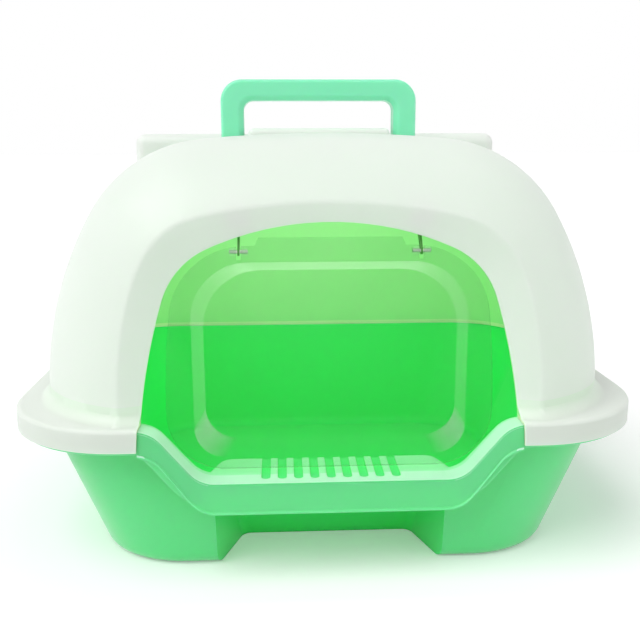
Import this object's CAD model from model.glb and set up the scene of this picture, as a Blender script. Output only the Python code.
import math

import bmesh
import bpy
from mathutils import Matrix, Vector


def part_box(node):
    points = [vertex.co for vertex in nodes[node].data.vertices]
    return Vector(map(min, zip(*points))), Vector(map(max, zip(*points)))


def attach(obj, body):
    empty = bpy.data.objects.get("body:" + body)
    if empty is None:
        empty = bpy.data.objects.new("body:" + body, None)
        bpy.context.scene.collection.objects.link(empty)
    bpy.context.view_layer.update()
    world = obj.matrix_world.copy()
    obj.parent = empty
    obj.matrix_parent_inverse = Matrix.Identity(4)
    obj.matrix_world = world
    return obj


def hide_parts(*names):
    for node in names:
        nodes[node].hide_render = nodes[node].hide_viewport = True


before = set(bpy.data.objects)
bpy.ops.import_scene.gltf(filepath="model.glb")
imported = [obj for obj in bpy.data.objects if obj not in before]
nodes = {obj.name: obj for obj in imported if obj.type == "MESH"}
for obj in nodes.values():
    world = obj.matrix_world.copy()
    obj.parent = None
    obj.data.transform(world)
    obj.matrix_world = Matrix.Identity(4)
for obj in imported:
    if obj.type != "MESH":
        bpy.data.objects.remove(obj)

# %% [markdown]
# # A hooded litter box, dressed for its portrait
# The solids come in as a fixed frame: a green tray, an off-white hood that lifts off, a clear flap that
# swings in the hood's entrance and a green handle on the roof. This lesson gives each of them the look of
# moulded plastic. We note the size of the bare solids first, so that we can prove at the end that nothing
# has grown.

bpy.ops.object.select_all(action="DESELECT")
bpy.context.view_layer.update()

# %% [markdown]
# ## The camera
# The picture was taken from about the height of the roof, a little left of the middle, looking slightly
# down at the entrance. A camera can be placed by eye and nudged, but here its place and turns are known, so
# we write them down: turn about the vertical, tilt down, then roll about the line of sight.

# %% Place the camera
IMAGE_SIDE = 640
SENSOR_WIDTH = 36.0
FOCAL_PIXELS = 825.6
CAMERA_PLACE = Vector((-0.0377, -0.7898, 0.3339))
CAMERA_YAW = math.radians(2.75)
CAMERA_PITCH = math.radians(11.95)
CAMERA_ROLL = math.radians(-0.18)

camera_data = bpy.data.cameras.new("portrait_camera")
camera_data.sensor_width = SENSOR_WIDTH
camera_data.lens = FOCAL_PIXELS / IMAGE_SIDE * SENSOR_WIDTH
camera = bpy.data.objects.new("portrait_camera", camera_data)
bpy.context.scene.collection.objects.link(camera)
turn = Matrix.Rotation(-CAMERA_YAW, 4, "Z")
tilt = Matrix.Rotation(math.pi / 2 - CAMERA_PITCH, 4, "X")
roll = Matrix.Rotation(CAMERA_ROLL, 4, "Z")
camera.matrix_world = Matrix.Translation(CAMERA_PLACE) @ turn @ tilt @ roll
bpy.context.scene.camera = camera
print("lens", round(camera_data.lens, 2), "mm at", [round(x, 3) for x in CAMERA_PLACE])

# %% [markdown]
# ## The band under the entry rim
# The tray's rim dips in front, so that the animal steps in low. A band hangs from the rim there, like the
# skirt on a bucket, and ends in a small rolled bead that catches the light. It follows the dip all the way
# across. We could draw the dip again, but two drawings never quite agree. So we feel for the rim instead: a
# ray is dropped on the tray just behind the rim's front face, once for each column of a thin grid, and the
# column is moved to the hit.

# %% Feel for the rim's line
BAND_REACH = 0.1475
PROBE_INSET = 0.0015
PROBE_HEIGHT = 0.2

tray = nodes["base_tray"]
tray_low, tray_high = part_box("base_tray")
rim_face = tray_low[1]


def rim_height(x):
    """Height of the rim's top at x, just behind its front face."""
    hit = tray.ray_cast((x, rim_face + PROBE_INSET, PROBE_HEIGHT), (0, 0, -1))
    return hit[1].z


sill_height = rim_height(0.0)
end_height = rim_height(BAND_REACH)
print("rim face at y", round(rim_face, 4), "sill", round(sill_height, 4), "end", round(end_height, 4))

# %% Lay out a grid of one row
BAND_COLUMNS = 96
BAND_PROUD = 0.0006
BAND_TOP_GAP = 0.0012
BAND_DROP = 0.021
# A grid of this size reaches 1 each way, so its scale is its reach.
GRID_SIZE = 2.0

bpy.ops.mesh.primitive_grid_add(
    x_subdivisions=BAND_COLUMNS, y_subdivisions=1, size=GRID_SIZE, rotation=(math.pi / 2, 0, 0))
band = bpy.context.object
band.name = "rim_band"
band.scale = (BAND_REACH, BAND_DROP / 2, 1)
band.location = (0, rim_face - BAND_PROUD, -BAND_TOP_GAP - BAND_DROP / 2)
bpy.ops.object.transform_apply(location=True, rotation=True, scale=True)
columns = sorted({round(vertex.co.x, 5) for vertex in band.data.vertices})
print("band columns", len(columns))

# %% Move its columns to the rim
BAND_END_DROP = 0.0165
COLUMN_REACH = 0.00075


def select_vertices(piece, wanted):
    """Select the vertices of the piece in edit mode whose place passes the test."""
    bpy.ops.mesh.select_all(action="DESELECT")
    shape = bmesh.from_edit_mesh(piece.data)
    for vertex in shape.verts:
        vertex.select = wanted(vertex.co)
    shape.select_flush(True)
    bmesh.update_edit_mesh(piece.data)


bpy.ops.object.mode_set(mode="EDIT")
for column in columns:
    height = rim_height(column)
    middle = height - BAND_DROP / 2
    climb = (height - sill_height) / (end_height - sill_height)
    select_vertices(band, lambda place: abs(place.x - column) < COLUMN_REACH)
    bpy.ops.transform.translate(value=(0, 0, height))
    # The band is shallower where it has climbed to its ends.
    select_vertices(band, lambda place: abs(place.x - column) < COLUMN_REACH and place.z < middle)
    bpy.ops.transform.translate(value=(0, 0, (BAND_DROP - BAND_END_DROP) * climb))
bpy.ops.object.mode_set(mode="OBJECT")
print("band from", round(min(v.co.z for v in band.data.vertices), 4), "m up")

# %% Roll a bead on the lower edge
BEAD_OUT = 0.0011
BEAD_DOWN = 0.0012

bpy.ops.object.mode_set(mode="EDIT")
select_vertices(band, lambda place: place.z < rim_height(place.x) - BAND_END_DROP / 2)
bpy.ops.mesh.extrude_region_move(TRANSFORM_OT_translate={"value": (0, -BEAD_OUT, -BEAD_DOWN)})
bpy.ops.mesh.extrude_region_move(TRANSFORM_OT_translate={"value": (0, 0, -BEAD_DOWN)})
bpy.ops.object.mode_set(mode="OBJECT")
print("band and bead", len(band.data.polygons), "faces")

# %% Give the band its wall
BAND_WALL = 0.0022
BAND_ROUND = 0.0005
ROUND_STEPS = 3
BAND_FOLD = math.radians(35)

wall = band.modifiers.new("wall", "SOLIDIFY")
wall.thickness = BAND_WALL
wall.offset = -1.0
rounding = band.modifiers.new("rounding", "BEVEL")
rounding.width = BAND_ROUND
rounding.segments = ROUND_STEPS
rounding.limit_method = "ANGLE"
bpy.ops.object.modifier_apply(modifier="wall")
bpy.ops.object.modifier_apply(modifier="rounding")
bpy.ops.object.shade_smooth_by_angle(angle=BAND_FOLD)
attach(band, "base")
band.select_set(False)
print("rim band faces", len(band.data.polygons))

# %% [markdown]
# ## The hood, with softer folds
# The dome meets its flange in a small flat chamfer. On the real moulding that fold is a soft cove, and light
# rolls over it without a break. Cutting a cove into thousands of uneven triangles would tear them, so the
# hood is copied, its loose triangles are merged, and it is shaded smooth over every fold of less than sixty
# degrees: light then bends over the chamfer as it does over the cove, and the sharp rims stay sharp.

# %% Copy the hood and smooth its folds
MERGE_REACH = 0.000005
SOFT_FOLD = math.radians(60)

hood_shell = bpy.data.objects.new("hood_shell", nodes["hood"].data.copy())
bpy.context.scene.collection.objects.link(hood_shell)
bpy.context.view_layer.objects.active = hood_shell
hood_shell.select_set(True)
if hood_shell.data.has_custom_normals:
    bpy.ops.mesh.customdata_custom_splitnormals_clear()
bpy.ops.object.mode_set(mode="EDIT")
bpy.ops.mesh.select_all(action="SELECT")
bpy.ops.mesh.remove_doubles(threshold=MERGE_REACH)
bpy.ops.object.mode_set(mode="OBJECT")
bpy.ops.object.shade_smooth_by_angle(angle=SOFT_FOLD)
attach(hood_shell, "cover")
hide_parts("hood")
hood_shell.select_set(False)
print("hood shell", len(hood_shell.data.vertices), "vertices", len(hood_shell.data.polygons), "faces")

# %% [markdown]
# ## Moulded plastic
# The tray, the hood, the handle and the hangers are injection-moulded plastic, most likely polypropylene. A
# thin wall of it lets light through. Glass-like transmission would show what is behind the wall, which this
# cloudy plastic never does, so we let light spread under the skin, with subsurface scattering a little
# deeper than the wall is thick. One helper builds the finish: cloudy tone, uneven satin skin and a fine
# grain from the mould.

# %% Small helpers for shader nodes
def new_material(name):
    """A new material, its node tree and its shader."""
    material = bpy.data.materials.new(name)
    material.use_nodes = True
    return material, material.node_tree, material.node_tree.nodes["Principled BSDF"]


def add_node(tree, kind, sockets=(), **settings):
    """Add a shader node: sockets is a dict of values to set, or of outputs to link."""
    node = tree.nodes.new(kind)
    for name, value in settings.items():
        setattr(node, name, value)
    for key, value in dict(sockets).items():
        if isinstance(value, bpy.types.NodeSocket):
            tree.links.new(value, node.inputs[key])
        else:
            node.inputs[key].default_value = value
    return node


def add_math(tree, operation, *values, clamp=False):
    """Add a math node with these values or outputs, and give its result."""
    node = add_node(tree, "ShaderNodeMath", dict(enumerate(values)), operation=operation, use_clamp=clamp)
    return node.outputs[0]


def mix_colours(tree, share, first, second, blend="MIX"):
    """Mix two colours; the colour sockets of this node are the seventh and the eighth."""
    sockets = {0: share, 6: first, 7: second}
    return add_node(tree, "ShaderNodeMix", sockets, data_type="RGBA", blend_type=blend).outputs[2]


# %% Helpers that find a zone of a piece
def test_each(tree, tests):
    """1 where every value passes its test; a test is a value, LESS_THAN or GREATER_THAN, and a limit."""
    passed = None
    for value, way, limit in tests:
        result = add_math(tree, way, value, limit)
        passed = add_math(tree, "MINIMUM", passed, result) if passed else result
    return passed


def in_zones(tree, place, heart, zones):
    """1 in any of the zones, which are lists of tests on where a face lies and which way it looks."""
    away = add_node(tree, "ShaderNodeVectorMath", {0: place.outputs["Object"], 1: heart},
                    operation="SUBTRACT")
    outward = add_node(tree, "ShaderNodeVectorMath", {0: place.outputs["Normal"], 1: away.outputs["Vector"]},
                       operation="DOT_PRODUCT")
    spot = add_node(tree, "ShaderNodeSeparateXYZ", {0: place.outputs["Object"]})
    lean = add_node(tree, "ShaderNodeSeparateXYZ", {0: place.outputs["Normal"]})
    values = {"outward": outward.outputs["Value"], "across": add_math(tree, "ABSOLUTE", spot.outputs["X"]),
              "depth": spot.outputs["Y"], "height": spot.outputs["Z"],
              "upward": lean.outputs["Z"], "backward": lean.outputs["Y"]}
    inside = 0.0
    for zone in zones:
        passed = test_each(tree, [(values[what], way, limit) for what, way, limit in zone])
        inside = add_math(tree, "MAXIMUM", inside, passed)
    return inside


# %% The finish of moulded plastic
CLOUD_SCALE = 7.0
CLOUD_DETAIL = 3.0
CLOUD_TINT = (0.955, 0.965, 0.955, 1)
GRAIN_SCALE = 1100.0
GRAIN_DETAIL = 2.0
GRAIN_HEIGHT = 0.0002
GRAIN_STRENGTH = 0.2
# Most of a noise lies between these two values.
NOISE_LOW, NOISE_HIGH = 0.3, 0.7
SATIN_SWING = 0.05
BLOOM_ROUGHNESS = 0.4
WALL_GLOW = 0.004
EVEN_SPREAD = (1.0, 1.0, 1.0)
PLASTIC_IOR = 1.49


def moulded(name, outer, satin, tones=(), bloom=0.0):
    """Cloudy satin plastic; tones are other colours, each with the heart and the zones that it covers."""
    material, tree, shader = new_material(name)
    place = add_node(tree, "ShaderNodeTexCoord")
    clouds = add_node(tree, "ShaderNodeTexNoise", {
        "Vector": place.outputs["Object"], "Scale": CLOUD_SCALE, "Detail": CLOUD_DETAIL})
    colour = (*outer, 1)
    for tone, heart, zones in tones:
        colour = mix_colours(tree, in_zones(tree, place, heart, zones), colour, (*tone, 1))
    colour = mix_colours(tree, clouds.outputs["Fac"], colour, CLOUD_TINT, "MULTIPLY")
    skin = add_node(tree, "ShaderNodeMapRange", {
        "Value": clouds.outputs["Fac"], "From Min": NOISE_LOW, "From Max": NOISE_HIGH,
        "To Min": satin - SATIN_SWING, "To Max": satin + SATIN_SWING})
    pits = add_node(tree, "ShaderNodeTexNoise", {
        "Vector": place.outputs["Object"], "Scale": GRAIN_SCALE, "Detail": GRAIN_DETAIL})
    bump = add_node(tree, "ShaderNodeBump", {
        "Height": pits.outputs["Fac"], "Strength": GRAIN_STRENGTH, "Distance": GRAIN_HEIGHT})
    tree.links.new(colour, shader.inputs["Base Color"])
    tree.links.new(skin.outputs["Result"], shader.inputs["Roughness"])
    tree.links.new(bump.outputs["Normal"], shader.inputs["Normal"])
    shader.inputs["Subsurface Weight"].default_value = 1.0
    shader.inputs["Subsurface Radius"].default_value = EVEN_SPREAD
    shader.inputs["Subsurface Scale"].default_value = WALL_GLOW
    shader.inputs["IOR"].default_value = PLASTIC_IOR
    shader.inputs["Sheen Weight"].default_value = bloom
    shader.inputs["Sheen Roughness"].default_value = BLOOM_ROUGHNESS
    return material


def paint(piece, material):
    """Give the piece this material and no other."""
    piece.data.materials.clear()
    piece.data.materials.append(material)
    print(piece.name, "->", material.name)


# %% [markdown]
# ## Colours by place
# One plastic does not look the same all over. Light that reaches the inside has passed the walls several
# times, so it is deeper in colour there. The hood's skirt hangs over the green rim and takes a little green
# from it, and a pale line runs along the seam, where light leaks in over the rim. On the tray the rim's
# lip catches the most light. We could paint vertices, but a painted edge is as coarse as the triangles. So
# each tone has zones instead, which are tests on where a face lies and which way it looks. A face looks
# inwards where its normal points back to the heart of the box.

# %% Tones of the hood
HOOD_WHITE = (0.845, 0.87, 0.835)
SKIRT_WHITE = (0.795, 0.875, 0.78)
HOOD_INNER_GREEN = (0.53, 0.85, 0.46)
SEAM_YELLOW = (0.86, 0.93, 0.62)
HOOD_SATIN = 0.42
HOOD_HEART = (0.0, 0.0, 0.2)
HOOD_ROOF = 0.31
FLANGE_TOP = tray_high[2] + 0.016
SEAM_TOP = tray_high[2] + 0.004
LEDGE_LEAN = 0.35
CEILING_LEAN = -0.5

HOOD_SKIRT = [[("height", "LESS_THAN", FLANGE_TOP)]]
HOOD_INSIDE = [
    [("outward", "LESS_THAN", 0.0), ("height", "LESS_THAN", HOOD_ROOF), ("upward", "LESS_THAN", LEDGE_LEAN)],
    [("height", "GREATER_THAN", HOOD_ROOF), ("upward", "LESS_THAN", CEILING_LEAN)],
]
HOOD_SEAM = [
    [("outward", "LESS_THAN", 0.0), ("height", "LESS_THAN", SEAM_TOP), ("upward", "LESS_THAN", LEDGE_LEAN)],
]
hood_tones = [(SKIRT_WHITE, HOOD_HEART, HOOD_SKIRT), (HOOD_INNER_GREEN, HOOD_HEART, HOOD_INSIDE),
              (SEAM_YELLOW, HOOD_HEART, HOOD_SEAM)]
paint(hood_shell, moulded("hood_plastic", HOOD_WHITE, HOOD_SATIN, hood_tones))

# %% Tones of the tray
TRAY_GREEN = (0.145, 0.78, 0.30)
TRAY_INNER_GREEN = (0.06, 0.86, 0.21)
LIP_GREEN = (0.56, 0.95, 0.70)
STEP_GREEN = (0.36, 0.91, 0.51)
TRAY_SATIN = 0.38
TRAY_BLOOM = 0.45
TRAY_HEART = (0.0, 0.0, 0.06)
TUB_FRONT = rim_face + 0.018
RECESS_FRONT = TUB_FRONT + 0.012
RECESS_REACH = 0.1
RECESS_LEAN = -0.3
GROOVE_TOP = sill_height - 0.0006
GROOVE_LEAN = 0.9
LIP_LEAN = 0.6

TRAY_INSIDE = [
    [("outward", "LESS_THAN", 0.0), ("depth", "GREATER_THAN", TUB_FRONT)],
    [("backward", "LESS_THAN", RECESS_LEAN), ("depth", "GREATER_THAN", RECESS_FRONT),
     ("across", "LESS_THAN", RECESS_REACH)],
    [("height", "GREATER_THAN", TRAY_HEART[2]), ("height", "LESS_THAN", GROOVE_TOP),
     ("upward", "GREATER_THAN", GROOVE_LEAN)],
]
TRAY_LIP = [[("height", "GREATER_THAN", GROOVE_TOP), ("upward", "GREATER_THAN", LIP_LEAN)]]
TRAY_STEP = [[*TRAY_LIP[0], ("depth", "GREATER_THAN", TUB_FRONT)]]
tray_tones = [(TRAY_INNER_GREEN, TRAY_HEART, TRAY_INSIDE), (LIP_GREEN, TRAY_HEART, TRAY_LIP),
              (STEP_GREEN, TRAY_HEART, TRAY_STEP)]
tray_plastic = moulded("tray_plastic", TRAY_GREEN, TRAY_SATIN, tray_tones, TRAY_BLOOM)
paint(nodes["base_tray"], tray_plastic)
paint(band, tray_plastic)

# %% Handle and hangers
HANDLE_GREEN = (0.28, 0.98, 0.59)
HANDLE_SATIN = 0.34
HANDLE_BLOOM = 0.3
HANGER_GREEN = (0.07, 0.26, 0.045)
HANGER_SATIN = 0.45

handle_plastic = moulded("handle_plastic", HANDLE_GREEN, HANDLE_SATIN, bloom=HANDLE_BLOOM)
hanger_plastic = moulded("hanger_plastic", HANGER_GREEN, HANGER_SATIN)
for node_name in ("carry_handle", "handle_pin_left", "handle_pin_right"):
    paint(nodes[node_name], handle_plastic)
for node_name in ("door_hanger_left", "door_hanger_right"):
    paint(nodes[node_name], hanger_plastic)

# %% [markdown]
# ## The clear flap
# The flap is a thin clear sheet with a breath of green, pressed out in the middle. Solid glass would bend
# what is behind it and gather dark lines at every edge, as a thick block does. A thin sheet hardly bends
# light, so we make it see-through with alpha. It turns paler and more solid only where it is sloped: on the
# pressed bevel, on the cut edge, which is darker, and most of all on the lower corners of the bevel, which
# mirror the studio's light.

# %% Find the slopes of the sheet
SLOPE_START = 0.97
SLOPE_FULL = 0.75
EDGE_LEAN = 0.3
CORNER_TOP = 0.15

flap_clear, tree, shader = new_material("flap_clear")
place = add_node(tree, "ShaderNodeTexCoord")
lean = add_node(tree, "ShaderNodeSeparateXYZ", {0: place.outputs["Normal"]})
spot = add_node(tree, "ShaderNodeSeparateXYZ", {0: place.outputs["Object"]})
facing = add_math(tree, "ABSOLUTE", lean.outputs["Y"])
sideways = add_math(tree, "ABSOLUTE", lean.outputs["X"])
upright = add_math(tree, "ABSOLUTE", lean.outputs["Z"])
slope = add_node(tree, "ShaderNodeMapRange", {
    "Value": facing, "From Min": SLOPE_START, "From Max": SLOPE_FULL}).outputs["Result"]
edge = test_each(tree, [(facing, "LESS_THAN", EDGE_LEAN)])
low_bevel = test_each(tree, [
    (facing, "GREATER_THAN", EDGE_LEAN), (spot.outputs["Z"], "LESS_THAN", CORNER_TOP)])
corner = add_math(tree, "MULTIPLY", add_math(tree, "MULTIPLY", sideways, upright), low_bevel)
print("flap: slopes, cut edge and low corners found")

# %% How solid the sheet looks
FLAP_VEIL = 0.12
VEIL_SWING = 0.2
SLOPE_VEIL = 0.04
EDGE_VEIL = 0.30
CORNER_VEIL = 5.5
HAZE_SCALE = 30.0
HAZE_DETAIL = 4.0

haze = add_node(tree, "ShaderNodeTexNoise", {
    "Vector": place.outputs["Object"], "Scale": HAZE_SCALE, "Detail": HAZE_DETAIL})
veil = add_node(tree, "ShaderNodeMapRange", {
    "Value": haze.outputs["Fac"],
    "To Min": (1 - VEIL_SWING) * FLAP_VEIL, "To Max": (1 + VEIL_SWING) * FLAP_VEIL}).outputs["Result"]
for mask, amount in ((slope, SLOPE_VEIL), (edge, EDGE_VEIL), (corner, CORNER_VEIL)):
    veil = add_math(tree, "MULTIPLY_ADD", mask, amount, veil, clamp=True)
tree.links.new(veil, shader.inputs["Alpha"])
print("flap: veil", FLAP_VEIL)

# %% Tint and gloss of the sheet
FLAP_TINT = (0.05, 0.42, 0.07, 1)
BEVEL_TINT = (0.72, 0.97, 0.72, 1)
CORNER_TINT = (0.96, 1.0, 0.96, 1)
EDGE_TINT = (0.10, 0.48, 0.12, 1)
CORNER_SHINE = 9.0
SMEAR_LOW, SMEAR_HIGH = 0.05, 0.14

tint = mix_colours(tree, slope, FLAP_TINT, BEVEL_TINT)
shine = add_math(tree, "MULTIPLY", corner, CORNER_SHINE, clamp=True)
tint = mix_colours(tree, shine, tint, CORNER_TINT)
tint = mix_colours(tree, edge, tint, EDGE_TINT)
smear = add_node(tree, "ShaderNodeMapRange", {
    "Value": haze.outputs["Fac"], "From Min": NOISE_LOW, "From Max": NOISE_HIGH,
    "To Min": SMEAR_LOW, "To Max": SMEAR_HIGH})
tree.links.new(tint, shader.inputs["Base Color"])
tree.links.new(smear.outputs["Result"], shader.inputs["Roughness"])
shader.inputs["IOR"].default_value = PLASTIC_IOR
paint(nodes["flap_door"], flap_clear)

# %% [markdown]
# ## Steel pins
# The flap turns on two short pieces of drawn wire. Drawing leaves fine scratches along the wire. They could
# be cut into the mesh, but they are far finer than its faces, so the noise that sets the gloss is stretched
# along the wire instead: many cycles across it, few along it.

# %% Drawn wire
WIRE_STRETCH = (60.0, 2500.0, 2500.0)
SCRATCH_DETAIL = 3.0
WIRE_DARK = (0.42, 0.48, 0.40, 1)
WIRE_PALE = (0.60, 0.66, 0.57, 1)
WIRE_GLOSSY, WIRE_DULL = 0.22, 0.42

pin_steel, tree, shader = new_material("pin_steel")
place = add_node(tree, "ShaderNodeTexCoord")
stretch = add_node(tree, "ShaderNodeMapping", {"Vector": place.outputs["Object"], "Scale": WIRE_STRETCH})
scratches = add_node(tree, "ShaderNodeTexNoise", {
    "Vector": stretch.outputs["Vector"], "Scale": 1.0, "Detail": SCRATCH_DETAIL})
gloss = add_node(tree, "ShaderNodeMapRange", {
    "Value": scratches.outputs["Fac"], "From Min": NOISE_LOW, "From Max": NOISE_HIGH,
    "To Min": WIRE_GLOSSY, "To Max": WIRE_DULL})
tone = mix_colours(tree, scratches.outputs["Fac"], WIRE_DARK, WIRE_PALE)
tree.links.new(tone, shader.inputs["Base Color"])
tree.links.new(gloss.outputs["Result"], shader.inputs["Roughness"])
shader.inputs["Metallic"].default_value = 1.0
paint(nodes["flap_pin_left"], pin_steel)
paint(nodes["flap_pin_right"], pin_steel)

# %% [markdown]
# ## Floor
# The box stands on a plain white floor. More light would make the floor whiter, but it would also bleach the
# hood. So the floor gives off a little light of its own that only the camera sees, straight or by way of
# gloss and glass. It keeps the shadow that the box throws, and sends no extra light to the box.

# %% White floor
FLOOR_SIZE = 60.0
FLOOR_LIFT = 0.2
FLOOR_WHITE = (0.94, 0.94, 0.94, 1)
FLOOR_ROUGHNESS = 0.9
WHITE = (1, 1, 1, 1)


def seen_directly(tree):
    """1 for the camera's rays, also by way of gloss and glass, and 0 for light on its way to a surface."""
    path = add_node(tree, "ShaderNodeLightPath").outputs
    mirrored = add_math(tree, "MAXIMUM", path["Is Camera Ray"], path["Is Glossy Ray"])
    return add_math(tree, "MAXIMUM", mirrored, path["Is Transmission Ray"])


bpy.ops.mesh.primitive_plane_add(size=FLOOR_SIZE)
floor = bpy.context.object
floor.name = "studio_floor"
floor_white, tree, shader = new_material("floor_white")
shader.inputs["Base Color"].default_value = FLOOR_WHITE
shader.inputs["Roughness"].default_value = FLOOR_ROUGHNESS
shader.inputs["Specular IOR Level"].default_value = 0.0
shader.inputs["Emission Color"].default_value = WHITE
lift = add_math(tree, "MULTIPLY", seen_directly(tree), FLOOR_LIFT)
tree.links.new(lift, shader.inputs["Emission Strength"])
paint(floor, floor_white)
floor.select_set(False)

# %% [markdown]
# ## Suns
# A lamp at a real distance would leave the far floor grey and draw a horizon. A sun falls alike on the whole
# floor, and a wide one has soft shadows, as a large studio lamp does. The key sun comes from the upper left
# in front, and a weak one from the low right fills the side that the key leaves dark. On a face that looks
# up, the suns and the white surround below add up to about one, so colours render as written.

# %% Key and fill
KEY_DIRECTION, KEY_STRENGTH, KEY_SPREAD = Vector((0.62, 0.40, -1.0)), 1.68, math.radians(50)
FILL_DIRECTION, FILL_STRENGTH, FILL_SPREAD = Vector((-0.90, 0.25, -0.35)), 0.35, math.radians(60)


def wide_sun(name, direction, strength, spread):
    """A sun that shines in this direction and looks as wide as spread."""
    sun_data = bpy.data.lights.new(name, "SUN")
    sun_data.energy = strength
    sun_data.angle = spread
    sun = bpy.data.objects.new(name, sun_data)
    sun.rotation_euler = direction.to_track_quat("-Z", "Y").to_euler()
    bpy.context.scene.collection.objects.link(sun)
    print(name, strength)


wide_sun("key_sun", KEY_DIRECTION, KEY_STRENGTH, KEY_SPREAD)
wide_sun("fill_sun", FILL_DIRECTION, FILL_STRENGTH, FILL_SPREAD)

# %% [markdown]
# ## Light that comes through the walls
# On the real box daylight comes through the thin walls, and the inside is bright. Scattering under the skin
# carries too little light that far, and with a deeper scatter the mouldings would look like wax. So a weak,
# soft lamp under the roof shines at the rear wall in its place. The camera and the gloss do not see it.

# %% Glow inside the box
GLOW_PLACE = Vector((0.0, -0.10, 0.30))
GLOW_TARGET = Vector((0.0, 0.15, 0.09))
GLOW_WIDTH = 0.30
GLOW_DEPTH = 0.08
GLOW_POWER = 0.48

glow_data = bpy.data.lights.new("wall_glow", "AREA")
glow_data.shape = "RECTANGLE"
glow_data.size = GLOW_WIDTH
glow_data.size_y = GLOW_DEPTH
glow_data.energy = GLOW_POWER
glow = bpy.data.objects.new("wall_glow", glow_data)
glow.location = GLOW_PLACE
glow.rotation_euler = (GLOW_TARGET - GLOW_PLACE).to_track_quat("-Z", "Y").to_euler()
glow.visible_camera = False
glow.visible_glossy = False
bpy.context.scene.collection.objects.link(glow)
print("wall glow", GLOW_POWER, "W")

# %% [markdown]
# ## White surround
# The backdrop is pure white. As a light, a white that strong would wash out every shadow. So the world has
# two levels: the camera sees white, and the box is lit by half of it.

# %% Two levels of white
SURROUND_LEVEL = 0.5

world = bpy.data.worlds.new("white_studio")
bpy.context.scene.world = world
world.use_nodes = True
tree = world.node_tree
surround = tree.nodes["Background"]
surround.inputs["Color"].default_value = WHITE
surround.inputs["Strength"].default_value = SURROUND_LEVEL
white = add_node(tree, "ShaderNodeBackground", {"Color": WHITE, "Strength": 1.0})
mix = add_node(tree, "ShaderNodeMixShader", {
    0: seen_directly(tree), 1: surround.outputs[0], 2: white.outputs[0]})
tree.links.new(mix.outputs[0], tree.nodes["World Output"].inputs["Surface"])
bpy.context.scene.view_settings.view_transform = "Standard"
print("surround", SURROUND_LEVEL)

# %% [markdown]
# ## Check the size and finish
# The dressed part keeps the size of the solids. Both boxes are written down so that they can be compared.

# %% Write the sizes
bpy.context.view_layer.update()
